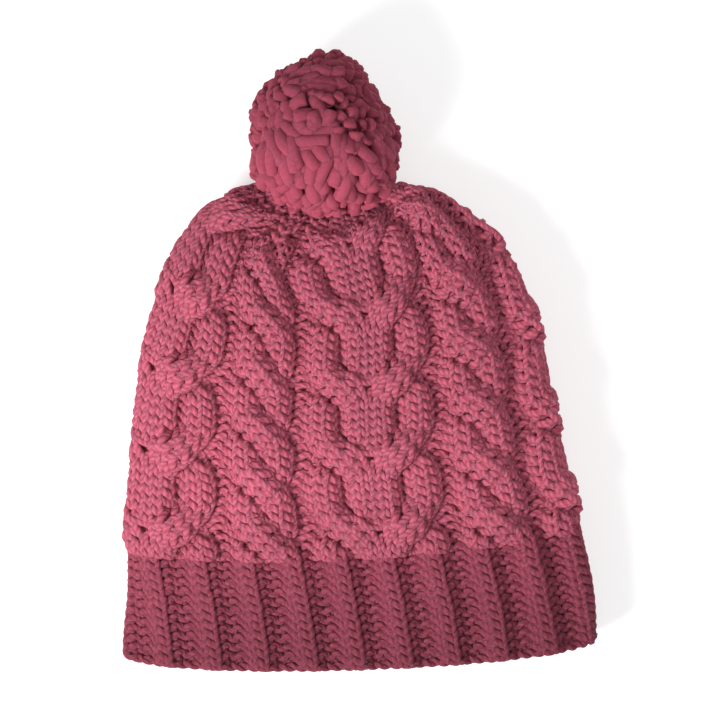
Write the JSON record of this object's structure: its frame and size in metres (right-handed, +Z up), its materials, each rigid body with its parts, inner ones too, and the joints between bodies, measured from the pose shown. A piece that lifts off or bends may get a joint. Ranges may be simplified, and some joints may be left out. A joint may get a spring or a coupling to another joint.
{
  "type": "bobble hat",
  "caption": "Cable-knit bobble hat lying on its back, with a ribbed brim around an open mouth, a gathered crown and a round yarn pompom.",
  "frame": {"origin": "centre of the hat's plan as it lies, on the surface it lies on", "axes": "+X across the hat to the viewer's right, +Y from the open mouth to the pompom, +Z up from the surface, out of the front panel"},
  "size_m": [0.2414, 0.3106, 0.0808],
  "materials": {
    "brim_wool": "matt, thick plied wool in ribbing",
    "crown_wool": "matt, thick plied wool in cables",
    "pompom_wool": "matt, fluffy cut yarn ends"
  },
  "bodies": {
    "root": {"ribbed_brim": "brim_wool", "cable_crown": "crown_wool", "pompom": "pompom_wool"}
  },
  "joints": []
}
